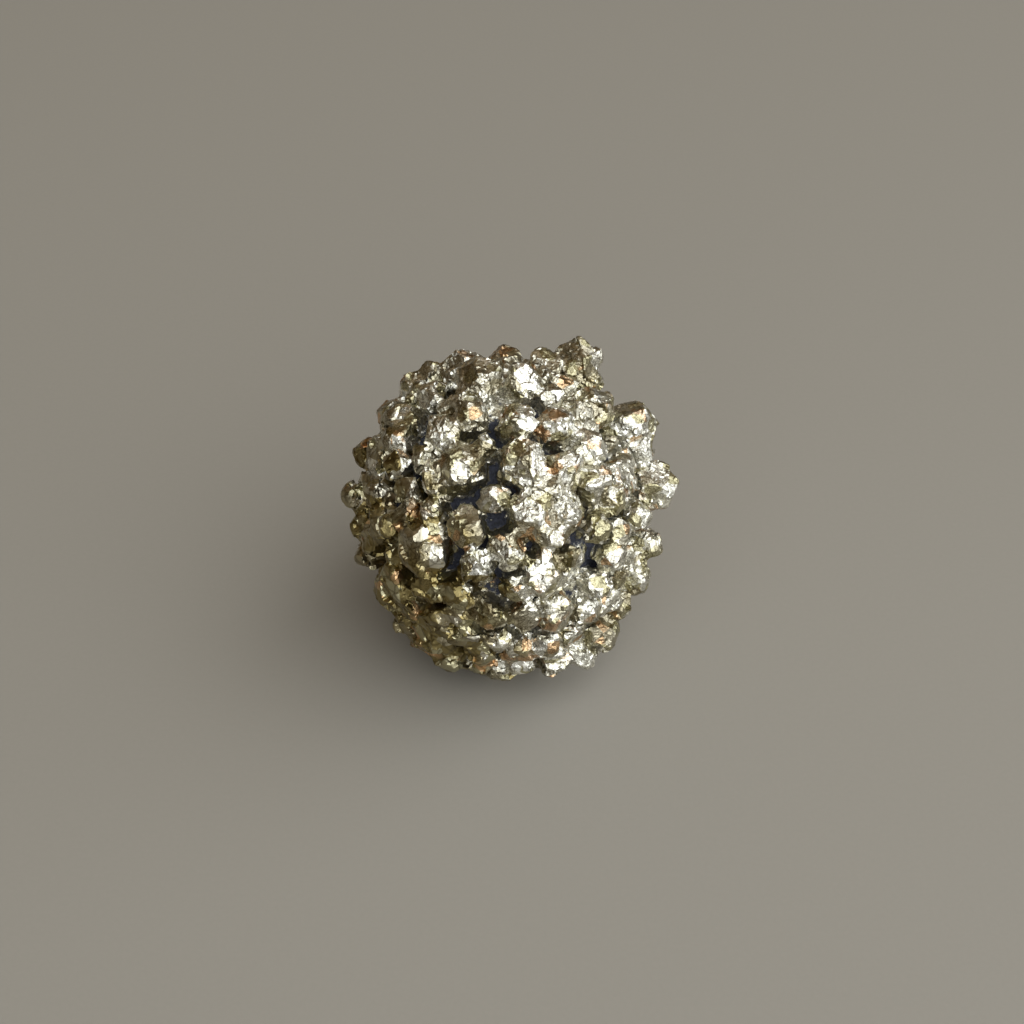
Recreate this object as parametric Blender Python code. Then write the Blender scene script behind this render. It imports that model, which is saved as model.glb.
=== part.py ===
"""A pyrite nodule about 40 mm across: one ball of pyrite crystals that have grown into each other.

Run it with blender --background --python part.py, or from the text editor.

Lengths are millimetres in the constants and metres in the scene. +Z is up, the nodule stands on Z = 0, and
the origin is on the worn crystal in the middle of its underside. The nodule's face is the side seen from -Y
and from above: its crystals are listed one by one, and the rest are placed by chance from a fixed seed.
"""

import math
import random
from typing import NamedTuple

import bmesh
import bpy
from mathutils import Matrix, Quaternion, Vector

MM = 0.001

# The ball that the crystals are seated on, and how far under it the rock between them lies.
BALL_HALF_WIDTH = 15.9
BALL_HALF_DEPTH = 17.4
BALL_HALF_HEIGHT = 17.9
BALL_CENTRE = Vector((-0.5, 0.0, 19.1))
GAP_DEPTH = 0.8
BALL_SUBDIVISIONS = 2

# The line of sight along which the face's crystals are placed, and the point that they are measured from.
SIGHT_AIM = Vector((0.0, 0.0, 19.1))
SIGHT_ELEVATION = math.radians(40)
SIGHT_DISTANCE = 260.0
SIGHT_STEP = 0.1

# How the crystals sit. A large one has its middle deeper than a small one, so that the ball stays round, and
# the inner half of each is drawn out to its root.
EVEN_HALF_SIZE = 2.0
EVENNESS = 0.75
MOST_LIFT = 0.25
ROOT_STRETCH = 1.6
STACK_STEP = 1.1
STACK_SHRINK = 0.92
STACK_REACH = 0.55

# The crystals that fill the rest of the ball, largest first: half sizes from and to, and tries.
FILL_ROUNDS = ((2.9, 2.4, 800), (2.3, 1.7, 2500))
FILL_HABITS = ("block", "lump", "lump", "point", "tile")
FILL_LIFTS = (-0.4, 0.1)
# Two crystals stand at least this share of their half sizes apart, and one keeps this clear of a pocket.
CLOSENESS = 0.76
POCKET_CLOSENESS = 0.6
# Below this height, as a share of the ball's, the crystals lie flat.
UNDERSIDE = -0.55
SEED = 11

# The share of the joined mesh's triangles that is kept: the rest are slivers along the crystals' joins.
TRIANGLES_KEPT = 0.68

PYRITE_COLOUR = (0.60, 0.52, 0.36, 1.0)
PYRITE_ROUGHNESS = 0.32


class Crystal(NamedTuple):
    """A crystal's middle, its half size and its habit, in millimetres."""

    middle: Vector
    half_size: float
    habit: str


# The face's crystals: across and up from the ball's middle as seen, half size, lift and habit.
# Knobs stand clear of the ball at the upper right.
KNOBS = (
    (9.0, 18.8, 2.4, 0.3, "block"),
    (9.6, 15.9, 1.9, 0.3, "block"),
    (15.5, 10.9, 2.7, 0.3, "block"),
    (16.4, 7.6, 1.5, 0.0, "lump"),
    (17.9, 3.5, 2.6, 0.3, "block"),
)
CROWN = (
    (-5.3, 17.8, 2.7, 0.0, "lump"),
    (-0.1, 18.2, 2.2, 0.1, "lump"),
    (4.8, 17.6, 2.4, 0.2, "lump"),
    (-3.0, 15.6, 2.9, 0.5, "block"),
    (1.9, 15.6, 2.4, 0.3, "lump"),
    (-10.6, 15.1, 2.0, 0.2, "lump"),
    (-8.4, 13.9, 1.6, 0.4, "block"),
    (-8.3, 16.6, 1.6, 0.2, "lump"),
    (5.2, 13.8, 1.9, 0.4, "point"),
    (10.3, 12.6, 2.6, 0.5, "lump"),
)
SHOULDER = (
    (-12.8, 12.0, 2.3, 0.3, "lump"),
    (-12.6, 8.9, 1.9, 0.2, "lump"),
    (-7.2, 9.4, 2.4, 0.4, "block"),
    (-4.2, 11.5, 2.1, 0.2, "block"),
    (1.4, 10.8, 2.2, 0.2, "block"),
    (-2.2, 8.3, 1.3, 0.5, "block"),
    (6.0, 10.4, 2.3, 0.4, "block"),
    (9.6, 7.6, 2.4, 0.3, "lump"),
    (12.4, 8.2, 1.2, 0.1, "point"),
    (14.0, 5.8, 1.5, 0.1, "block"),
)
MIDDLE = (
    (-16.1, 7.4, 2.0, 0.2, "lump"),
    (-12.5, 5.9, 1.8, 0.2, "block"),
    (-7.6, 4.3, 2.3, 0.4, "block"),
    (-4.9, 5.8, 2.7, 0.5, "block"),
    (2.3, 6.0, 2.9, 0.4, "lump"),
    (7.1, 5.2, 2.3, 0.3, "lump"),
    (10.3, 3.7, 2.3, 0.3, "lump"),
    (-17.6, 2.3, 1.7, 0.3, "lump"),
    (-14.9, 2.6, 1.8, 0.1, "block"),
    (-11.3, 2.7, 1.6, 0.1, "tile"),
    (-1.3, 1.8, 1.9, 0.4, "point"),
    (-8.6, 0.5, 1.6, 0.1, "block"),
    (3.2, 0.2, 2.5, 0.4, "lump"),
    (6.6, 0.4, 2.6, 0.4, "lump"),
    (5.2, 2.9, 2.2, 0.3, "lump"),
    (5.0, -2.3, 2.1, 0.3, "lump"),
    (12.6, 1.8, 1.8, 0.2, "block"),
    (15.0, -0.1, 2.0, 0.3, "lump"),
    (-4.4, -1.5, 2.2, 0.4, "block"),
    (0.3, -3.8, 2.4, 0.2, "block"),
    (10.6, -1.4, 1.7, 0.3, "lump"),
    (16.5, -3.5, 1.9, 0.4, "lump"),
    (12.6, -4.9, 1.8, 0.3, "lump"),
    (-16.6, -1.5, 1.9, 0.1, "lump"),
    (-13.5, -1.4, 1.5, 0.2, "block"),
    (-9.7, -4.0, 3.1, 0.4, "lump"),
    (-16.2, -4.8, 1.8, 0.1, "lump"),
    (-3.3, -6.1, 1.9, 0.3, "block"),
    (4.5, -6.8, 2.8, 0.4, "lump"),
    (1.4, -8.4, 1.8, 0.2, "block"),
    (7.7, -5.0, 1.3, 0.2, "block"),
    (11.0, -8.3, 1.7, 0.2, "lump"),
    (15.4, -7.3, 2.0, 0.3, "block"),
)
# Low on the face the crystals are packed side by side and show flat outer faces.
PAVEMENT = (
    (-13.1, -7.6, 2.0, -0.2, "tile"),
    (-9.0, -8.3, 2.0, -0.1, "tile"),
    (-5.3, -9.3, 2.1, 0.2, "block"),
    (-11.4, -11.0, 2.2, -0.2, "tile"),
    (-14.2, -9.9, 1.6, -0.3, "tile"),
    (-8.0, -12.4, 2.0, 0.0, "tile"),
    (-1.7, -11.8, 2.0, 0.1, "block"),
    (2.0, -11.5, 2.0, 0.1, "tile"),
    (5.8, -11.4, 2.4, 0.2, "block"),
    (9.7, -11.4, 2.1, 0.1, "block"),
    (13.0, -10.6, 1.9, 0.2, "lump"),
    (11.0, -14.0, 2.5, 0.4, "lump"),
    (-12.0, -13.4, 1.7, -0.3, "block"),
    (-9.8, -15.2, 1.7, -0.2, "tile"),
    (-4.6, -14.3, 1.9, 0.0, "tile"),
    (-1.0, -14.8, 1.7, 0.0, "block"),
    (4.9, -15.0, 1.9, 0.2, "block"),
    (8.0, -14.9, 1.4, 0.0, "block"),
    (-6.6, -16.8, 2.0, 0.3, "lump"),
    (-2.4, -17.2, 1.8, 0.2, "block"),
    (1.7, -17.3, 1.8, 0.0, "tile"),
    (5.8, -17.2, 2.0, 0.1, "tile"),
    (9.3, -16.5, 1.6, 0.2, "block"),
    (-0.4, -18.7, 1.6, 0.0, "lump"),
)
FACE = KNOBS + CROWN + SHOULDER + MIDDLE + PAVEMENT
# Where dark clay shows between the face's crystals, no small ones fill the gap: across, up and radius.
CLAY_POCKETS = (
    (9.3, -7.2, 1.3),
    (14.2, -4.4, 1.5),
    (10.9, -3.4, 0.9),
    (10.2, 0.4, 1.0),
    (-4.6, 2.0, 1.6),
    (-1.8, 6.2, 1.3),
    (1.4, 3.2, 1.0),
    (-4.2, -3.9, 1.2),
    (-1.8, -1.6, 1.2),
    (2.8, 13.1, 1.7),
    (8.3, 17.2, 1.4),
    (7.6, 14.3, 1.3),
    (-10.4, 9.4, 1.5),
    (-9.8, 12.4, 1.4),
    (12.2, 10.3, 1.5),
    (15.2, 6.6, 1.3),
)
# The worn crystals that the nodule rests on, the first in the middle of its underside.
FEET = ((0.0, 0.0), (6.2, 2.2), (-5.2, 4.2), (-1.2, -6.6), (4.4, -4.6))
FOOT_HALF_SIZE = 2.6
FOOT_MIDDLE = 1.56

# The flat faces of each habit: directions in the crystal, and distance from its middle over half its size.
CUBE = ((1, 0, 0), (-1, 0, 0), (0, 1, 0), (0, -1, 0), (0, 0, 1), (0, 0, -1))
OCTAHEDRON = tuple((x, y, z) for x in (1, -1) for y in (1, -1) for z in (1, -1))
PYRITOHEDRON = tuple(
    v[turn:] + v[:turn] for v in ((0, a, 2 * b) for a in (1, -1) for b in (1, -1)) for turn in (0, 1, 2)
)
HABIT_FACES = {
    "block": ((CUBE, 0.93), (OCTAHEDRON, 1.02)),
    "lump": ((PYRITOHEDRON, 0.98),),
    "point": ((CUBE, 1.05), (OCTAHEDRON, 0.78)),
    "tile": ((CUBE, 0.95), (OCTAHEDRON, 1.28)),
}
FACE_JITTER = 0.12
TILE_TILT = math.radians(9)


def clear_scene():
    for old in list(bpy.data.objects):
        bpy.data.objects.remove(old)


def collection(name):
    made = bpy.data.collections.new(name)
    bpy.context.scene.collection.children.link(made)
    return made


def pyrite_material():
    material = bpy.data.materials.new("pyrite")
    material.use_nodes = True
    shader = material.node_tree.nodes["Principled BSDF"]
    shader.inputs["Base Color"].default_value = PYRITE_COLOUR
    shader.inputs["Metallic"].default_value = 1.0
    shader.inputs["Roughness"].default_value = PYRITE_ROUGHNESS
    return material


def ball_point(direction):
    """The point of the ball's surface in this direction from its middle."""
    x, y, z = direction.normalized()
    shrink = math.sqrt(
        (x / BALL_HALF_WIDTH) ** 2 + (y / BALL_HALF_DEPTH) ** 2 + (z / BALL_HALF_HEIGHT) ** 2
    )
    return BALL_CENTRE + Vector((x, y, z)) / shrink


def height_over_ball(point):
    from_middle = point - BALL_CENTRE
    return from_middle.length - (ball_point(from_middle) - BALL_CENTRE).length


def middle_over(seat, half_size, lift):
    """Where a crystal of this size has its middle over its seat on the ball."""
    height = EVENNESS * (EVEN_HALF_SIZE - half_size) + min(lift, MOST_LIFT) * half_size
    return seat + (seat - BALL_CENTRE).normalized() * height


def seat_in_sight(across, up):
    """The point of the ball seen this far across and up of the aim, or the nearest one past its edge."""
    toward_eye = Vector((0, -math.cos(SIGHT_ELEVATION), math.sin(SIGHT_ELEVATION)))
    picture_up = Vector((0, math.sin(SIGHT_ELEVATION), math.cos(SIGHT_ELEVATION)))
    eye = SIGHT_AIM + toward_eye * SIGHT_DISTANCE
    aim = SIGHT_AIM + Vector((across, 0, 0)) + picture_up * up
    along = (aim - eye).normalized()
    nearest = eye + along * (BALL_CENTRE - eye).dot(along)
    depth = -BALL_HALF_HEIGHT
    while depth < 0:
        point = nearest + along * depth
        if height_over_ball(point) <= 0:
            return point
        depth += SIGHT_STEP
    return nearest


def crystals_of_face():
    """Every crystal of the face, and under one that stands clear of the ball, the crystals that carry it."""
    found = []
    for across, up, half_size, lift, habit in FACE:
        seat = seat_in_sight(across, up)
        outward = (seat - BALL_CENTRE).normalized()
        middle = middle_over(seat, half_size, lift)
        found.append(Crystal(middle, half_size, habit))
        while height_over_ball(middle) > half_size * STACK_REACH:
            middle = middle - outward * half_size * STACK_STEP
            half_size *= STACK_SHRINK
            found.append(Crystal(middle, half_size, "block"))
    return found


def feet():
    """The crystals under the nodule, which reach below Z = 0 and are worn off there."""
    return [Crystal(Vector((x, y, FOOT_MIDDLE)), FOOT_HALF_SIZE, "tile") for x, y in FEET]


def crystals_between(placed, draw):
    """Crystals over the rest of the ball, where none stands yet and no pocket of clay shows."""
    pockets = [(seat_in_sight(across, up), radius) for across, up, radius in CLAY_POCKETS]
    crystals = list(placed)
    for largest, smallest, tries in FILL_ROUNDS:
        for _ in range(tries):
            direction = Vector([draw.gauss(0, 1) for _ in range(3)]).normalized()
            half_size = draw.uniform(smallest, largest)
            habit = draw.choice(FILL_HABITS) if direction.z > UNDERSIDE else "tile"
            lift = draw.uniform(*FILL_LIFTS)
            seat = ball_point(direction)
            in_pocket = any(
                (seat - middle).length < radius + half_size * POCKET_CLOSENESS for middle, radius in pockets
            )
            taken = any(
                (seat - other.middle).length < CLOSENESS * (half_size + other.half_size) for other in crystals
            )
            if not in_pocket and not taken:
                crystals.append(Crystal(middle_over(seat, half_size, lift), half_size, habit))
    return crystals[len(placed) :]


def crystal_turn(crystal, draw):
    """How the crystal is turned: a tile lies flat on the ball, and the others any way."""
    outward = (crystal.middle - BALL_CENTRE).normalized()
    if crystal.habit != "tile":
        return Quaternion([draw.gauss(0, 1) for _ in range(4)]).normalized()
    flat = outward.to_track_quat("Z", "Y") @ Quaternion((0, 0, 1), draw.uniform(0, math.pi / 2))
    return flat @ Quaternion((1, 0, 0), draw.uniform(-TILE_TILT, TILE_TILT))


def draw_out_root(solid, crystal):
    outward = (crystal.middle - BALL_CENTRE).normalized()
    for vert in solid.verts:
        height = (vert.co - crystal.middle).dot(outward)
        vert.co += outward * min(height, 0) * (ROOT_STRETCH - 1)


def crystal_mesh(crystal, draw):
    """One crystal: a cube cut by its habit's flat faces, each a little nearer or farther, on a long root."""
    solid = bmesh.new()
    bmesh.ops.create_cube(solid, size=4 * crystal.half_size)
    for directions, distance in HABIT_FACES[crystal.habit]:
        for direction in directions:
            normal = Vector(direction).normalized()
            reach = crystal.half_size * distance * draw.uniform(1 - FACE_JITTER, 1 + FACE_JITTER)
            cut = bmesh.ops.bisect_plane(
                solid,
                geom=solid.verts[:] + solid.edges[:] + solid.faces[:],
                plane_co=normal * reach,
                plane_no=normal,
                clear_outer=True,
            )
            rim = [item for item in cut["geom_cut"] if isinstance(item, bmesh.types.BMEdge)]
            if rim:
                bmesh.ops.holes_fill(solid, edges=rim)
    bmesh.ops.transform(
        solid,
        matrix=Matrix.Translation(crystal.middle) @ crystal_turn(crystal, draw).to_matrix().to_4x4(),
        verts=solid.verts,
    )
    draw_out_root(solid, crystal)
    bmesh.ops.recalc_face_normals(solid, faces=solid.faces)
    mesh = bpy.data.meshes.new("crystal")
    solid.to_mesh(mesh)
    solid.free()
    return mesh


def all_crystals(crystals, draw, helpers):
    """All the crystals as one helper mesh, still overlapping."""
    together = bmesh.new()
    for crystal in crystals:
        mesh = crystal_mesh(crystal, draw)
        together.from_mesh(mesh)
        bpy.data.meshes.remove(mesh)
    bmesh.ops.scale(together, vec=Vector((MM, MM, MM)), verts=together.verts)
    mesh = bpy.data.meshes.new("crystals")
    together.to_mesh(mesh)
    together.free()
    return helper("crystals", mesh, helpers)


def helper(name, mesh, helpers):
    made = bpy.data.objects.new(name, mesh)
    made.hide_render = True
    made.display_type = "WIRE"
    helpers.objects.link(made)
    return made


def surface_below(helpers):
    """The block under Z = 0 that wears the lowest crystals flat."""
    side = 4 * BALL_HALF_WIDTH * MM
    block = bmesh.new()
    bmesh.ops.create_cube(block, size=side, matrix=Matrix.Translation((0, 0, -side / 2)))
    mesh = bpy.data.meshes.new("surface_below")
    block.to_mesh(mesh)
    block.free()
    return helper("surface_below", mesh, helpers)


def boolean(target, operation, other, use_self=False):
    modifier = target.modifiers.new(other.name, "BOOLEAN")
    modifier.operation = operation
    modifier.solver = "EXACT"
    modifier.use_self = use_self
    modifier.object = other


def keep_outer_surface(specimen):
    """Joins the mesh as its modifiers say, and drops the sealed pockets between the crystals' roots."""
    graph = bpy.context.evaluated_depsgraph_get()
    joined = bmesh.new()
    joined.from_mesh(specimen.evaluated_get(graph).to_mesh())
    outer = set()
    reached = [max(joined.verts, key=lambda vert: vert.co.z)]
    while reached:
        vert = reached.pop()
        if vert not in outer:
            outer.add(vert)
            reached.extend(edge.other_vert(vert) for edge in vert.link_edges)
    pockets = [vert for vert in joined.verts if vert not in outer]
    bmesh.ops.delete(joined, geom=pockets, context="VERTS")
    bmesh.ops.triangulate(joined, faces=joined.faces)
    specimen.modifiers.clear()
    joined.to_mesh(specimen.data)
    joined.free()


def nodule(parts, helpers):
    """The whole specimen: the ball, the crystals grown on it, and the worn faces that it rests on."""
    draw = random.Random(SEED)
    crystals = crystals_of_face() + feet()
    crystals += crystals_between(crystals, draw)
    ball = bmesh.new()
    bmesh.ops.create_icosphere(ball, subdivisions=BALL_SUBDIVISIONS, radius=1.0)
    half_axes = Vector((BALL_HALF_WIDTH, BALL_HALF_DEPTH, BALL_HALF_HEIGHT))
    gap = Vector((GAP_DEPTH, GAP_DEPTH, GAP_DEPTH))
    bmesh.ops.scale(ball, vec=(half_axes - gap) * MM, verts=ball.verts)
    bmesh.ops.translate(ball, vec=BALL_CENTRE * MM, verts=ball.verts)
    mesh = bpy.data.meshes.new("pyrite_nodule")
    ball.to_mesh(mesh)
    ball.free()
    mesh.materials.append(pyrite_material())
    specimen = bpy.data.objects.new("pyrite_nodule", mesh)
    parts.objects.link(specimen)
    boolean(specimen, "UNION", all_crystals(crystals, draw, helpers), use_self=True)
    keep_outer_surface(specimen)
    slivers = specimen.modifiers.new("slivers", "DECIMATE")
    slivers.ratio = TRIANGLES_KEPT
    boolean(specimen, "DIFFERENCE", surface_below(helpers))


def main():
    clear_scene()
    nodule(collection("pyrite_specimen"), collection("helpers"))


main()
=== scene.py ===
"""The looks of a pyrite nodule: a ball of grown-together pyrite crystals about 40 mm across, on a pale table.

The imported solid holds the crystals. Here they are fused into one skin with deeper gaps, and the skin is
broken into the flat, leaning little faces that make pyrite glitter. Lengths are in metres, and the nodule's
are worked out from millimetres.
"""

import math
from typing import NamedTuple

import bmesh
import bpy
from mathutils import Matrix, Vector


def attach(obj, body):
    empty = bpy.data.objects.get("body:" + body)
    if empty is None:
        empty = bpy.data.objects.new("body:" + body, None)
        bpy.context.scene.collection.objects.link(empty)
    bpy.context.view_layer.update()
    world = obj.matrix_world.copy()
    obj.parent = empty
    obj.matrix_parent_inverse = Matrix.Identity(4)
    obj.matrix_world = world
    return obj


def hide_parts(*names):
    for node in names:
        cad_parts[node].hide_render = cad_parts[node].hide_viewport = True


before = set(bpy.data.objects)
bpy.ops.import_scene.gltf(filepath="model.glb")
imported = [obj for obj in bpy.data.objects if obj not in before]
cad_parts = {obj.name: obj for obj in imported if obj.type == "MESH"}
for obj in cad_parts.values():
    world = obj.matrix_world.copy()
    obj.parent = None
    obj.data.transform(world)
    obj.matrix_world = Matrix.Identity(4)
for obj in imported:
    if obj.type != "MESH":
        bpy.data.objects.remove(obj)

bl_info = {
    "name": "Pyrite Nodule",
    "version": (1, 0, 0),
    "blender": (4, 5, 0),
    "location": "3D View > Sidebar > Pyrite",
    "description": "Grows a pyrite nodule on its packed solid and sets it on a pale table",
    "category": "Add Mesh",
}

MM = 0.001
NODE = "pyrite_nodule"

# The ball that the crystals' tips reach, and its middle over the table.
BALL_MIDDLE = Vector((-0.5, 0.0, 19.1)) * MM
BALL_HALF_AXES = Vector((18.0, 19.5, 19.9)) * MM

# Points of the solid that are closer than this are one point.
MERGE_DISTANCE = 0.001 * MM
# Fusing also leaves tiny bubbles and specks, loose from the skin, which have fewer points than this.
LOOSE_POINTS = 5000
# Rounds of blurring on the skin: how wide a point's surroundings are taken, and how evenly it faces.
SURROUNDINGS_ROUNDS = 50
FACING_ROUNDS = 6
# How far a face may stand off the crystal, as a share of its width, and how steeply it may lean.
FACE_LIFT = 0.15
STEEPEST = 0.35
# The cells of the narrow faces are moved along, so that their edges don't follow the broad ones'.
BROAD_SHIFT = 0.0
NARROW_SHIFT = 31 * MM
# Edges that bend more than this are left sharp.
CREASE_ANGLE = math.radians(20)

# The side of the nodule that is most tarnished, and how far out that way this begins and is complete.
# Its dark golden colour is partly real tarnish and partly painted shade on the lower left, which faces away
# from the light.
OLD_AND_SHADED_SIDE = Vector((-0.8, -0.45, -0.3)).normalized()
OLD_BEGINS = 0 * MM
OLD_COMPLETE = 10 * MM
# There the crystals are evened out by this share, and the faces lean by so many times as much.
OLD_EVENED = 0.6
OLD_BROAD_LEAN = 2.0
OLD_NARROW_LEAN = 0.6

# Widths of what the metal's colour shows: crystals, stained faces, and the drift of stains over the nodule.
CRYSTAL_WIDTH = 3.0 * MM
STAIN_WIDTH = 1.5 * MM
DRIFT_WIDTH = 7.0 * MM
# Hairline cracks: how wide the pieces between them are, how they wander, and the patches that they keep to.
CRACKLE_WIDTH = 0.38 * MM
WANDER_WIDTH = 0.9 * MM
WANDER = 0.8 * MM
PATCH_WIDTH = 2.5 * MM
PATCH_FADE = (0.5, 0.7)
OLD_PATCH = 0.25
CRACK_EDGE = (0.02, 0.17)
CRACK_DEPTH = 0.3
CRACK_BREAKS = (0.5, 0.58)
# The dark line between broad faces, as a share of a face, and how strong it is on fresh and on old metal.
SEAM_WIDTH = 0.09
SEAM_FRESH = 0.35
SEAM_OLD = 0.6
# Dust, and how deep under their surroundings the hollows between the crystals begin to darken and are dark:
# painted shade, with some tarnish.
DUST_WIDTH = 0.5 * MM
CREVICE_SHADE_DEPTH = (0.35 * MM, 0.8 * MM)
# Clay lies where a gap is deep, and the nearer to the ball's middle the sooner.
CLAY_DEPTH = 0.9 * MM
CLAY_REACH = 9.0
CLAY_EDGE = (-6.6, -6.4)
CLAY_DUST = (0.35, 0.65)
CLAY_ROUGHNESS = 0.9
# Crinkles too fine for the mesh: their width, their height, and how much of them the old side has. Real ones
# are finer still, and are drawn as wide as they need to be to show.
WRINKLE_WIDTH = 0.4 * MM
BUMP = 0.06 * MM
OLD_WRINKLE = 0.6
# The metal's roughness, from where it is bright to where dust dulls it.
DUST_SPREAD = (0.3, 0.7)
BRIGHT_ROUGHNESS = 0.26
DUSTY_ROUGHNESS = 0.42

TABLE_HALF_WIDTH = 1.5
TABLE_ROUGHNESS = 0.62
MOTTLE_WIDTH = 0.6 * MM
MOTTLE_SHADE = 0.94

# The photograph's angle. The sensor's width is in millimetres, as the lens is.
CAMERA_AIM = Vector((0.85, 0.0, 19.5)) * MM
SENSOR = 36.0
NEAREST = 0.01
FARTHEST = 10.0

# Taken from a random colour, this leaves a step that may go to any side.
HALF = (0.5, 0.5, 0.5)


class Stain(NamedTuple):
    """Which faces a stain takes.

    Its weight is how much its cause counts beside chance. It begins and is complete at these sums of the two.
    """

    weight: float
    begins: float
    complete: float
    strength: float


# The golden stain on the lower left is partly real tarnish and partly painted shade.
GOLD_STAIN_AND_SHADE = Stain(0.9, 0.5, 1.1, 1.0)
BRONZE_STAIN = Stain(0.8, 1.3, 1.36, 0.85)
OLIVE_STAIN = Stain(-0.9, 0.3, 0.42, 1.0)


class Light(NamedTuple):
    """A rectangle of light: where it hangs round the nodule, its size in metres and how brightly it glows."""

    name: str
    azimuth: float
    elevation: float
    distance: float
    width: float
    height: float
    glow: float
    colour: str


# A window to the right, a broad lamp over the camera's right, the ceiling behind, and the wall to the left
# that gives back a little warm light. Azimuth runs from +X to +Y.
LIGHTS = (
    Light("window", math.radians(-28), math.radians(30), 1.2, 3.6, 2.6, 1.65, "#f5faff"),
    Light("lamp", math.radians(-66), math.radians(46), 1.2, 2.6, 2.0, 1.6, "#f5faff"),
    Light("ceiling", math.radians(90), math.radians(60), 1.3, 2.4, 1.8, 0.25, "#f0d4ac"),
    Light("wall", math.radians(180), math.radians(22), 1.2, 2.0, 0.9, 0.06, "#f0d0a0"),
)


def linear(hex_colour):
    """An sRGB colour such as "#c6c1aa" as the linear red, green, blue and alpha that Blender works in."""
    channels = [int(hex_colour[i : i + 2], 16) / 255 for i in (1, 3, 5)]
    return tuple(c / 12.92 if c <= 0.04045 else ((c + 0.055) / 1.055) ** 2.4 for c in channels) + (1.0,)


def length_property(name, description, millimetres):
    return bpy.props.FloatProperty(
        name=name, description=description, default=millimetres * MM, unit="LENGTH", precision=5
    )


def number_property(name, description, number):
    return bpy.props.FloatProperty(name=name, description=description, default=number)


def count_property(name, description, count):
    return bpy.props.IntProperty(name=name, description=description, default=count)


def colour_property(name, description, hex_colour):
    return bpy.props.FloatVectorProperty(
        name=name, description=description, default=linear(hex_colour), subtype="COLOR", size=4
    )


class NoduleSettings(bpy.types.PropertyGroup):
    """Sizes and colours of the nodule."""

    skin: length_property("Skin Detail", "The smallest thing that the fused skin can show", 0.2)
    rounding: count_property("Rounding", "Rounds of smoothing on the crystals", 4)
    gap_depth: number_property("Gap Depth", "How much deeper gaps are cut", 0.6)
    broad_face: length_property("Broad Face", "Width of the flat faces that a crystal is broken into", 2.0)
    narrow_face: length_property("Narrow Face", "Width of the crinkles on those faces", 0.55)
    broad_tilt: number_property("Broad Tilt", "Lean of the broad faces", 0.35)
    narrow_tilt: number_property("Narrow Tilt", "Lean of the crinkles", 0.5)
    triangles: count_property("Triangles", "Triangles kept in the skin", 190000)
    silver: colour_property("Silver", "The palest crystals", "#f4f2e7")
    brass: colour_property("Brass", "Most crystals", "#e5e1cf")
    # Golden tarnish of the left side, made darker as painted shade where the lower left faces away from the
    # light.
    gold_tarnish_and_shade: colour_property("Gold", "The old tarnish of the left side", "#8d7f55")
    olive: colour_property("Olive", "Faces tarnished green", "#b5ae8c")
    bronze: colour_property("Bronze", "Faces tarnished orange", "#cda77c")
    # Dark tarnish for the cracks and seams, and painted shade in the hollows between the crystals.
    dark_tarnish_and_shade: colour_property("Crevice", "Tarnish in cracks and crevices", "#463b20")
    clay: colour_property("Clay", "Slate clay left in the gaps", "#15161b")
    dry_clay: colour_property("Dry Clay", "The same clay where it is dusty", "#393b47")


class StageSettings(bpy.types.PropertyGroup):
    """The table, the light and the camera."""

    elevation: bpy.props.FloatProperty(
        name="Elevation",
        description="How far the camera looks down",
        default=math.radians(40),
        subtype="ANGLE",
    )
    distance: length_property("Distance", "From the camera to its aim", 266.0)
    lens: bpy.props.FloatProperty(
        name="Lens", description="Focal length in millimetres", default=76.2, unit="CAMERA"
    )
    table: colour_property("Table", "The painted table top", "#858076")
    room: colour_property("Room", "Light that comes back from the room", "#423722")


def result(node):
    """The first output that the node's settings leave in use."""
    return [socket for socket in node.outputs if socket.enabled][0]


def add(tree, kind, inputs=(), **settings):
    """Adds a node of this kind with its settings, and sets its inputs, by name or place, to these values.

    A value may also be another node, whose result is linked, or one of its output sockets.
    """
    node = tree.nodes.new(kind)
    for name, value in settings.items():
        setattr(node, name, value)
    in_use = {socket.name: socket for socket in reversed(node.inputs) if socket.enabled}
    for key, value in dict(inputs).items():
        socket = in_use[key] if isinstance(key, str) else node.inputs[key]
        if isinstance(value, bpy.types.Node):
            tree.links.new(result(value), socket)
        elif isinstance(value, bpy.types.NodeSocket):
            tree.links.new(value, socket)
        else:
            socket.default_value = value
    return node


def span(ends):
    """A range's two ends as the inputs that a value is carried over from."""
    return {"From Min": ends[0], "From Max": ends[1]}


def geometry_tree(name, sizes):
    """An empty Geometry Nodes tree with these named inputs, its input sockets and its output node."""
    tree = bpy.data.node_groups.new(name, "GeometryNodeTree")
    tree.interface.new_socket("Geometry", in_out="INPUT", socket_type="NodeSocketGeometry")
    for label, kind in sizes:
        tree.interface.new_socket(label, in_out="INPUT", socket_type=kind)
    tree.interface.new_socket("Geometry", in_out="OUTPUT", socket_type="NodeSocketGeometry")
    return tree, tree.nodes.new("NodeGroupInput").outputs, tree.nodes.new("NodeGroupOutput")


def add_tree(piece, tree, values):
    """Puts the tree on the piece as a modifier, with its named inputs set."""
    modifier = piece.modifiers.new(tree.name, "NODES")
    modifier.node_group = tree
    for item in tree.interface.items_tree:
        if item.item_type == "SOCKET" and item.in_out == "INPUT" and item.name in values:
            modifier[item.identifier] = values[item.name]


def make_plain(piece):
    """Turns what the piece's modifiers make into its own mesh, and removes them."""
    graph = bpy.context.evaluated_depsgraph_get()
    mesh = bpy.data.meshes.new_from_object(
        piece.evaluated_get(graph), preserve_all_data_layers=True, depsgraph=graph
    )
    piece.modifiers.clear()
    piece.data = mesh


def new_piece(name, mesh):
    piece = bpy.data.objects.new(name, mesh)
    bpy.context.scene.collection.objects.link(piece)
    return piece


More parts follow.
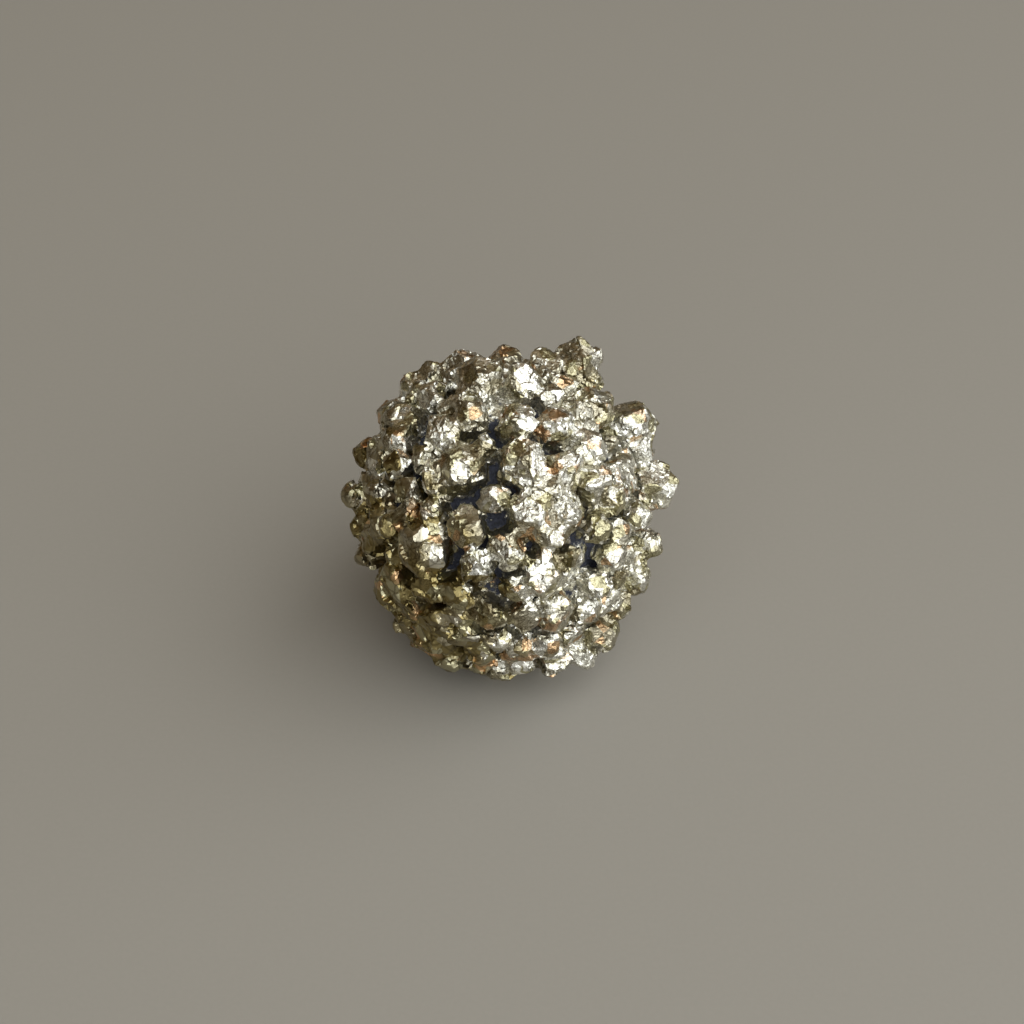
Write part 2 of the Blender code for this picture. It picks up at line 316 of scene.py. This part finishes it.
def merged_copy(node_name):
    """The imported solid's mesh with its loose triangles joined."""
    solid = bmesh.new()
    solid.from_mesh(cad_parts[node_name].data)
    bmesh.ops.remove_doubles(solid, verts=solid.verts, dist=MERGE_DISTANCE)
    mesh = bpy.data.meshes.new(node_name)
    solid.to_mesh(mesh)
    solid.free()
    return mesh


def old_and_shaded_side(tree, place):
    """1 on the tarnished side of the nodule, where the golden colour also paints shade, 0 on the fresh one.
    """
    along = add(tree, "ShaderNodeVectorMath", {0: place, 1: OLD_AND_SHADED_SIDE}, operation="DOT_PRODUCT")
    return add(tree, "ShaderNodeMapRange", {"Value": along, "From Min": OLD_BEGINS, "From Max": OLD_COMPLETE})


def surroundings(tree, place):
    """The middle of the skin around each point, and the way outward there from the ball's middle."""
    around = add(
        tree,
        "GeometryNodeBlurAttribute",
        {"Value": place, "Iterations": SURROUNDINGS_ROUNDS},
        data_type="FLOAT_VECTOR",
    )
    from_middle = add(tree, "ShaderNodeVectorMath", {0: place, 1: BALL_MIDDLE}, operation="SUBTRACT")
    outward = add(tree, "ShaderNodeVectorMath", {0: from_middle}, operation="NORMALIZE")
    return around, outward


def skin_alone(tree, geometry):
    """Keeps the skin, without the bubbles and specks that are loose from it."""
    island = add(tree, "GeometryNodeInputMeshIsland").outputs["Island Index"]
    points = add(tree, "GeometryNodeAccumulateField", {"Value": 1.0, "Group ID": island}).outputs["Total"]
    loose = add(tree, "FunctionNodeCompare", {"A": points, "B": LOOSE_POINTS}, operation="LESS_THAN")
    return add(tree, "GeometryNodeDeleteGeometry", {"Geometry": geometry, "Selection": loose})


def parted(tree, geometry, rounds, depth, level):
    """Rounds the crystals and sinks their gaps further towards the middle; the level evens them out again."""
    place = add(tree, "GeometryNodeInputPosition")
    soft = add(
        tree, "GeometryNodeBlurAttribute", {"Value": place, "Iterations": rounds}, data_type="FLOAT_VECTOR"
    )
    around, outward = surroundings(tree, place)
    over = add(tree, "ShaderNodeVectorMath", {0: soft, 1: around}, operation="SUBTRACT")
    height = add(tree, "ShaderNodeVectorMath", {0: over, 1: outward}, operation="DOT_PRODUCT")
    below = add(tree, "ShaderNodeMath", {0: height, 1: 0.0}, operation="MINIMUM")
    sunk = add(tree, "ShaderNodeMath", {0: below, 1: depth}, operation="MULTIPLY")
    inward = add(tree, "ShaderNodeVectorMath", {0: outward, "Scale": sunk}, operation="SCALE")
    evened = add(tree, "ShaderNodeMix", {"Factor": level, "A": soft, "B": around}, data_type="VECTOR")
    return add(tree, "GeometryNodeSetPosition", {"Geometry": geometry, "Position": evened, "Offset": inward})


def plane_reach(tree, held, cells, tilt, shift):
    """How far along its own direction each point lies from the leaning plane of its cell."""
    place = add(tree, "GeometryNodeInputPosition")
    centre = add(
        tree, "ShaderNodeVectorMath", {0: cells.outputs["Position"], 1: (shift,) * 3}, operation="SUBTRACT"
    )
    facing, nearest = [
        add(
            tree,
            "GeometryNodeSampleNearestSurface",
            {"Mesh": held["Geometry"], "Value": held[name], "Sample Position": centre},
            data_type="FLOAT_VECTOR",
        )
        for name in ("Facing", "Place")
    ]
    chance = add(
        tree, "ShaderNodeVectorMath", {0: cells.outputs["Color"], 1: HALF}, operation="SUBTRACT"
    )
    lean = add(tree, "ShaderNodeVectorMath", {0: chance, "Scale": tilt}, operation="SCALE")
    leaning = add(tree, "ShaderNodeVectorMath", {0: facing, 1: lean}, operation="ADD")
    plane = add(tree, "ShaderNodeVectorMath", {0: leaning}, operation="NORMALIZE")
    offset = add(tree, "ShaderNodeVectorMath", {0: nearest, 1: place}, operation="SUBTRACT")
    rise = add(tree, "ShaderNodeVectorMath", {0: offset, 1: plane}, operation="DOT_PRODUCT")
    along = add(tree, "ShaderNodeVectorMath", {0: held["Facing"], 1: plane}, operation="DOT_PRODUCT")
    steep = add(tree, "ShaderNodeMath", {0: along, 1: STEEPEST}, operation="MAXIMUM")
    return add(tree, "ShaderNodeMath", {0: rise, 1: steep}, operation="DIVIDE")


def faced(tree, geometry, width, tilt, shift):
    """Breaks the surface into flat leaning faces of about this width, which meet along ridges."""
    place = add(tree, "GeometryNodeInputPosition")
    facing = add(
        tree,
        "GeometryNodeBlurAttribute",
        {"Value": add(tree, "GeometryNodeInputNormal"), "Iterations": FACING_ROUNDS},
        data_type="FLOAT_VECTOR",
    )
    capture = add(tree, "GeometryNodeCaptureAttribute", {"Geometry": geometry}, domain="POINT")
    for name, value in (("Facing", facing), ("Place", place)):
        capture.capture_items.new("VECTOR", name)
        tree.links.new(result(value), capture.inputs[name])
    held = capture.outputs
    moved = add(tree, "ShaderNodeVectorMath", {0: place, 1: (shift,) * 3}, operation="ADD")
    scale = add(tree, "ShaderNodeMath", {0: 1.0, 1: width}, operation="DIVIDE")
    reaches = []
    for feature in ("F1", "F2"):
        cells = add(tree, "ShaderNodeTexVoronoi", {"Vector": moved, "Scale": scale}, feature=feature)
        reaches.append(plane_reach(tree, held, cells, tilt, shift))
    lower = add(tree, "ShaderNodeMath", dict(enumerate(reaches)), operation="MINIMUM")
    most = add(tree, "ShaderNodeMath", {0: width, 1: FACE_LIFT}, operation="MULTIPLY")
    least = add(tree, "ShaderNodeMath", {0: width, 1: -FACE_LIFT}, operation="MULTIPLY")
    held_down = add(tree, "ShaderNodeMath", {0: lower, 1: most}, operation="MINIMUM")
    held_in = add(tree, "ShaderNodeMath", {0: held_down, 1: least}, operation="MAXIMUM")
    offset = add(tree, "ShaderNodeVectorMath", {0: held["Facing"], "Scale": held_in}, operation="SCALE")
    return add(tree, "GeometryNodeSetPosition", {"Geometry": held["Geometry"], "Offset": offset})


def depth_in_gap(tree):
    """How far each point lies under its surroundings."""
    place = add(tree, "GeometryNodeInputPosition")
    around, outward = surroundings(tree, place)
    gap = add(tree, "ShaderNodeVectorMath", {0: around, 1: place}, operation="SUBTRACT")
    return add(tree, "ShaderNodeVectorMath", {0: gap, 1: outward}, operation="DOT_PRODUCT")


def ball_share(tree):
    """How far out each point lies, as a share of the ball that the crystals' tips reach."""
    place = add(tree, "GeometryNodeInputPosition")
    from_middle = add(tree, "ShaderNodeVectorMath", {0: place, 1: BALL_MIDDLE}, operation="SUBTRACT")
    scaled = add(tree, "ShaderNodeVectorMath", {0: from_middle, 1: BALL_HALF_AXES}, operation="DIVIDE")
    return add(tree, "ShaderNodeVectorMath", {0: scaled}, operation="LENGTH")


def crystal_skin_tree(material):
    """Rounds and parts the crystals, breaks them into broad and then narrow faces, and notes their depths."""
    tree, given, end = geometry_tree(
        "Crystal Skin",
        (
            ("Rounding", "NodeSocketInt"),
            ("Gap Depth", "NodeSocketFloat"),
            ("Broad Face", "NodeSocketFloat"),
            ("Narrow Face", "NodeSocketFloat"),
            ("Broad Tilt", "NodeSocketFloat"),
            ("Narrow Tilt", "NodeSocketFloat"),
        ),
    )
    old = old_and_shaded_side(tree, add(tree, "GeometryNodeInputPosition"))
    level = add(tree, "ShaderNodeMath", {0: old, 1: OLD_EVENED}, operation="MULTIPLY")
    skin = skin_alone(tree, given["Geometry"])
    skin = parted(tree, skin, given["Rounding"], given["Gap Depth"], level)
    for size, old_lean, shift in (
        ("Broad", OLD_BROAD_LEAN, BROAD_SHIFT),
        ("Narrow", OLD_NARROW_LEAN, NARROW_SHIFT),
    ):
        lean = add(tree, "ShaderNodeMapRange", {"Value": old, "To Min": 1.0, "To Max": old_lean})
        tilt = add(tree, "ShaderNodeMath", {0: given[f"{size} Tilt"], 1: lean}, operation="MULTIPLY")
        skin = faced(tree, skin, given[f"{size} Face"], tilt, shift)
    for name, value in (("gap", depth_in_gap(tree)), ("reach", ball_share(tree))):
        skin = add(
            tree,
            "GeometryNodeStoreNamedAttribute",
            {"Geometry": skin, "Name": name, "Value": value},
            data_type="FLOAT",
            domain="POINT",
        )
    real = add(tree, "GeometryNodeRealizeInstances", {"Geometry": skin})
    done = add(tree, "GeometryNodeSetMaterial", {"Geometry": real, "Material": material})
    tree.links.new(result(done), end.inputs[0])
    return tree


def tarnish(tree, place, old, settings):
    """The metal's colour: crystals from silver to brass, and dark golden on the old side, partly as painted
    shade; some faces gone orange or olive.
    """
    crystal = add(tree, "ShaderNodeTexVoronoi", {"Vector": place, "Scale": 1 / CRYSTAL_WIDTH})
    crystal_chance = add(tree, "ShaderNodeSeparateColor", {"Color": crystal.outputs["Color"]}).outputs
    face = add(tree, "ShaderNodeTexVoronoi", {"Vector": place, "Scale": 1 / STAIN_WIDTH})
    face_chance = add(tree, "ShaderNodeSeparateColor", {"Color": face.outputs["Color"]}).outputs
    drift = add(
        tree,
        "ShaderNodeTexNoise",
        {"Vector": place, "Scale": 1 / DRIFT_WIDTH, "Detail": 3.0, "Roughness": 0.6},
    )
    tone = add(
        tree,
        "ShaderNodeMix",
        {"Factor": crystal_chance["Red"], "A": settings.brass, "B": settings.silver},
        data_type="RGBA",
    )
    for stain, cause, chance, colour in (
        (GOLD_STAIN_AND_SHADE, old, crystal_chance["Green"], settings.gold_tarnish_and_shade),
        (BRONZE_STAIN, drift, face_chance["Red"], settings.bronze),
        (OLIVE_STAIN, drift, face_chance["Green"], settings.olive),
    ):
        luck = add(tree, "ShaderNodeMath", {0: cause, 1: stain.weight, 2: chance}, operation="MULTIPLY_ADD")
        share = add(
            tree,
            "ShaderNodeMapRange",
            {"Value": luck, "From Min": stain.begins, "From Max": stain.complete, "To Max": stain.strength},
        )
        tone = add(tree, "ShaderNodeMix", {"Factor": share, "A": tone, "B": colour}, data_type="RGBA")
    return tone


def crackle(tree, place, old, dust):
    """1 on the metal, and down to the crack depth in hairline cracks, which come and go."""
    wander = add(tree, "ShaderNodeTexNoise", {"Vector": place, "Scale": 1 / WANDER_WIDTH, "Detail": 2.0})
    centred = add(
        tree, "ShaderNodeVectorMath", {0: wander.outputs["Color"], 1: HALF}, operation="SUBTRACT"
    )
    warped = add(
        tree, "ShaderNodeVectorMath", {0: centred, 1: (WANDER,) * 3, 2: place}, operation="MULTIPLY_ADD"
    )
    edge = add(
        tree,
        "ShaderNodeTexVoronoi",
        {"Vector": warped, "Scale": 1 / CRACKLE_WIDTH},
        feature="DISTANCE_TO_EDGE",
    )
    line = add(tree, "ShaderNodeMapRange", {"Value": edge, **span(CRACK_EDGE), "To Min": CRACK_DEPTH})
    patch = add(tree, "ShaderNodeTexNoise", {"Vector": place, "Scale": 1 / PATCH_WIDTH, "Detail": 2.0})
    old_patch = add(tree, "ShaderNodeMath", {0: old, 1: OLD_PATCH, 2: patch}, operation="MULTIPLY_ADD")
    sound = add(tree, "ShaderNodeMapRange", {"Value": old_patch, **span(PATCH_FADE)})
    closed = add(tree, "ShaderNodeMapRange", {"Value": dust, **span(CRACK_BREAKS)})
    whole = add(tree, "ShaderNodeMath", {0: sound, 1: closed}, operation="MAXIMUM")
    return add(tree, "ShaderNodeMath", {0: line, 1: whole}, operation="MAXIMUM")


def seams(tree, place, old, width):
    """How dark the line is that parts the broad faces."""
    edge = add(
        tree, "ShaderNodeTexVoronoi", {"Vector": place, "Scale": 1 / width}, feature="DISTANCE_TO_EDGE"
    )
    strength = add(tree, "ShaderNodeMapRange", {"Value": old, "To Min": SEAM_FRESH, "To Max": SEAM_OLD})
    return add(
        tree, "ShaderNodeMapRange", {"Value": edge, "From Max": SEAM_WIDTH, "To Min": strength, "To Max": 0.0}
    )


def crevice_shade_and_tarnish(tree, gap, dust):
    """How dark painted shade, with some tarnish, makes the metal deep between the crystals."""
    by_dust = add(tree, "ShaderNodeMath", {0: dust, 1: DUST_WIDTH, 2: gap}, operation="MULTIPLY_ADD")
    return add(tree, "ShaderNodeMapRange", {"Value": by_dust, **span(CREVICE_SHADE_DEPTH)})


def metal_colour(tree, place, gap, old, dust, settings):
    """Tarnished metal, darker in its hairline cracks and between its broad faces, and darker with painted
    shade deep between the crystals.
    """
    whole = crackle(tree, place, old, dust)
    bright = tarnish(tree, place, old, settings)
    colour = add(
        tree, "ShaderNodeMix", {"Factor": whole, "A": settings.dark_tarnish_and_shade, "B": bright}, data_type="RGBA"
    )
    # The seams are dark joints; the darkening deep in the gaps is painted shade, with some tarnish.
    for dark in (seams(tree, place, old, settings.broad_face), crevice_shade_and_tarnish(tree, gap, dust)):
        colour = add(
            tree, "ShaderNodeMix", {"Factor": dark, "A": colour, "B": settings.dark_tarnish_and_shade}, data_type="RGBA"
        )
    return colour


def clay_colour(tree, dust, settings):
    """Slate clay, paler where it is dusty."""
    dry = add(tree, "ShaderNodeMapRange", {"Value": dust, **span(CLAY_DUST)})
    return add(
        tree, "ShaderNodeMix", {"Factor": dry, "A": settings.clay, "B": settings.dry_clay}, data_type="RGBA"
    )


def clay_share(tree, gap, reach, dust):
    """1 where clay covers the metal."""
    by_gap = add(tree, "ShaderNodeMath", {0: gap, 1: 1 / CLAY_DEPTH, 2: dust}, operation="MULTIPLY_ADD")
    by_reach = add(tree, "ShaderNodeMath", {0: reach, 1: -CLAY_REACH, 2: by_gap}, operation="MULTIPLY_ADD")
    return add(tree, "ShaderNodeMapRange", {"Value": by_reach, **span(CLAY_EDGE)})


def crinkled(tree, place, old, clay, dust):
    """The fine crinkles of the metal and the grain of the clay, as a bump."""
    wrinkle = add(
        tree,
        "ShaderNodeTexNoise",
        {"Vector": place, "Scale": 1 / WRINKLE_WIDTH, "Detail": 2.0, "Roughness": 0.6},
        noise_type="RIDGED_MULTIFRACTAL",
    )
    share = add(tree, "ShaderNodeMapRange", {"Value": old, "To Min": 1.0, "To Max": OLD_WRINKLE})
    wrinkles = add(tree, "ShaderNodeMath", {0: wrinkle, 1: share}, operation="MULTIPLY")
    relief = add(tree, "ShaderNodeMath", {0: dust, 1: clay, 2: wrinkles}, operation="MULTIPLY_ADD")
    return add(tree, "ShaderNodeBump", {"Height": relief, "Strength": 1.0, "Distance": BUMP})


def pyrite(settings):
    """Pyrite: a brass-pale metal that grows as flat, mirror-like faces, here and there gone olive or orange.

    Hairline cracks part its faces, painted shade with some tarnish darkens the hollows between crystals, and
    slate clay fills the deepest gaps.
    """
    material = bpy.data.materials.new("tarnished pyrite")
    material.use_nodes = True
    tree = material.node_tree
    place = add(tree, "ShaderNodeTexCoord").outputs["Object"]
    gap = add(tree, "ShaderNodeAttribute", attribute_name="gap").outputs["Fac"]
    reach = add(tree, "ShaderNodeAttribute", attribute_name="reach").outputs["Fac"]
    dust = add(
        tree,
        "ShaderNodeTexNoise",
        {"Vector": place, "Scale": 1 / DUST_WIDTH, "Detail": 4.0, "Roughness": 0.7},
    )
    old = old_and_shaded_side(tree, place)
    clay = clay_share(tree, gap, reach, dust)
    metal = metal_colour(tree, place, gap, old, dust, settings)
    covering = clay_colour(tree, dust, settings)
    metal_roughness = add(
        tree,
        "ShaderNodeMapRange",
        {"Value": dust, **span(DUST_SPREAD), "To Min": BRIGHT_ROUGHNESS, "To Max": DUSTY_ROUGHNESS},
    )
    finish = {
        "Base Color": add(
            tree, "ShaderNodeMix", {"Factor": clay, "A": metal, "B": covering}, data_type="RGBA"
        ),
        "Metallic": add(tree, "ShaderNodeMath", {0: 1.0, 1: clay}, operation="SUBTRACT"),
        "Roughness": add(tree, "ShaderNodeMix", {"Factor": clay, "A": metal_roughness, "B": CLAY_ROUGHNESS}),
        "Normal": crinkled(tree, place, old, clay, dust),
    }
    for name, value in finish.items():
        tree.links.new(result(value), tree.nodes["Principled BSDF"].inputs[name])
    return material


def thin(piece, triangles):
    """Thins the piece's mesh to this many triangles, and keeps it from reaching below the table."""
    made = sum(len(face.vertices) - 2 for face in piece.data.polygons)
    if made > triangles:
        thinned = piece.modifiers.new("thinned", "DECIMATE")
        thinned.ratio = triangles / made
        make_plain(piece)
    for vertex in piece.data.vertices:
        vertex.co.z = max(vertex.co.z, 0.0)


class PYRITE_OT_nodule(bpy.types.Operator):
    """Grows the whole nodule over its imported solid"""

    bl_idname = "pyrite.nodule"
    bl_label = "Grow Nodule"

    def execute(self, context):
        settings = context.scene.pyrite_nodule
        nodule = new_piece("nodule", merged_copy(NODE))
        fused = nodule.modifiers.new("fused", "REMESH")
        fused.mode = "VOXEL"
        fused.voxel_size = settings.skin
        sizes = {
            "Rounding": settings.rounding,
            "Gap Depth": settings.gap_depth,
            "Broad Face": settings.broad_face,
            "Narrow Face": settings.narrow_face,
            "Broad Tilt": settings.broad_tilt,
            "Narrow Tilt": settings.narrow_tilt,
        }
        add_tree(nodule, crystal_skin_tree(pyrite(settings)), sizes)
        make_plain(nodule)
        thin(nodule, settings.triangles)
        nodule.data.shade_smooth()
        nodule.data.set_sharp_from_angle(angle=CREASE_ANGLE)
        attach(nodule, "root")
        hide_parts(NODE)
        return {"FINISHED"}


def painted_board(settings):
    """Matt painted board: an even warm grey, rolled on, with a faint fine mottle and only a dull sheen."""
    material = bpy.data.materials.new("matt painted board")
    material.use_nodes = True
    tree = material.node_tree
    shader = tree.nodes["Principled BSDF"]
    place = add(tree, "ShaderNodeTexCoord").outputs["Object"]
    mottle = add(tree, "ShaderNodeTexNoise", {"Vector": place, "Scale": 1 / MOTTLE_WIDTH, "Detail": 3.0})
    darker = tuple(channel * MOTTLE_SHADE for channel in settings.table[:3]) + (1.0,)
    tone = add(tree, "ShaderNodeMix", {"Factor": mottle, "A": darker, "B": settings.table}, data_type="RGBA")
    tree.links.new(result(tone), shader.inputs["Base Color"])
    shader.inputs["Roughness"].default_value = TABLE_ROUGHNESS
    return material


def set_table(settings):
    """Lays the table under the nodule."""
    top = bmesh.new()
    bmesh.ops.create_grid(top, x_segments=1, y_segments=1, size=TABLE_HALF_WIDTH)
    mesh = bpy.data.meshes.new("table")
    top.to_mesh(mesh)
    top.free()
    mesh.materials.append(painted_board(settings))
    new_piece("table", mesh)


def aimed(name, data, place, aim):
    """A light or camera at this place, looking at the aim."""
    thing = bpy.data.objects.new(name, data)
    thing.location = place
    thing.rotation_euler = (aim - place).to_track_quat("-Z", "Y").to_euler()
    bpy.context.scene.collection.objects.link(thing)
    return thing


def set_light(light):
    """Sets a soft rectangle of light that looks at the nodule."""
    panel = bpy.data.lights.new(light.name, "AREA")
    panel.shape = "RECTANGLE"
    panel.size = light.width
    panel.size_y = light.height
    panel.energy = light.glow * math.pi * light.width * light.height
    panel.color = linear(light.colour)[:3]
    level = math.cos(light.elevation)
    toward = Vector(
        (math.cos(light.azimuth) * level, math.sin(light.azimuth) * level, math.sin(light.elevation))
    )
    aimed(light.name, panel, BALL_MIDDLE + toward * light.distance, BALL_MIDDLE)


def set_room(settings):
    """Fills the room with what little light comes back from it."""
    world = bpy.data.worlds.new("room")
    world.use_nodes = True
    world.node_tree.nodes["Background"].inputs["Color"].default_value = settings.room
    world.node_tree.nodes["Background"].inputs["Strength"].default_value = 1.0
    bpy.context.scene.world = world


def set_camera(settings):
    """Sets the camera in front of the nodule, looking down at it."""
    lens = bpy.data.cameras.new("camera")
    lens.lens = settings.lens
    lens.sensor_width = SENSOR
    lens.clip_start = NEAREST
    lens.clip_end = FARTHEST
    back = Vector((0.0, -math.cos(settings.elevation), math.sin(settings.elevation)))
    bpy.context.scene.camera = aimed("camera", lens, CAMERA_AIM + back * settings.distance, CAMERA_AIM)


class PYRITE_OT_stage(bpy.types.Operator):
    """Sets the table, the lights and the camera"""

    bl_idname = "pyrite.stage"
    bl_label = "Set Stage"

    def execute(self, context):
        settings = context.scene.pyrite_stage
        set_table(settings)
        for light in LIGHTS:
            set_light(light)
        set_room(settings)
        set_camera(settings)
        context.scene.view_settings.view_transform = "Standard"
        return {"FINISHED"}


class PYRITE_PT_panel(bpy.types.Panel):
    """Lists the nodule's steps and settings"""

    bl_idname = "PYRITE_PT_panel"
    bl_label = "Pyrite Nodule"
    bl_space_type = "VIEW_3D"
    bl_region_type = "UI"
    bl_category = "Pyrite"

    def draw(self, context):
        for operator, group in (
            (PYRITE_OT_nodule, context.scene.pyrite_nodule),
            (PYRITE_OT_stage, context.scene.pyrite_stage),
        ):
            self.layout.operator(operator.bl_idname)
            for name in group.bl_rna.properties.keys():
                if name not in ("rna_type", "name"):
                    self.layout.prop(group, name)


CLASSES = (NoduleSettings, StageSettings, PYRITE_OT_nodule, PYRITE_OT_stage, PYRITE_PT_panel)


def register():
    for cls in CLASSES:
        bpy.utils.register_class(cls)
    bpy.types.Scene.pyrite_nodule = bpy.props.PointerProperty(type=NoduleSettings)
    bpy.types.Scene.pyrite_stage = bpy.props.PointerProperty(type=StageSettings)


def unregister():
    del bpy.types.Scene.pyrite_stage
    del bpy.types.Scene.pyrite_nodule
    for cls in reversed(CLASSES):
        bpy.utils.unregister_class(cls)


def main():
    register()
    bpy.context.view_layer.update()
    bpy.ops.pyrite.nodule()
    bpy.ops.pyrite.stage()


if __name__ == "__main__":
    main()
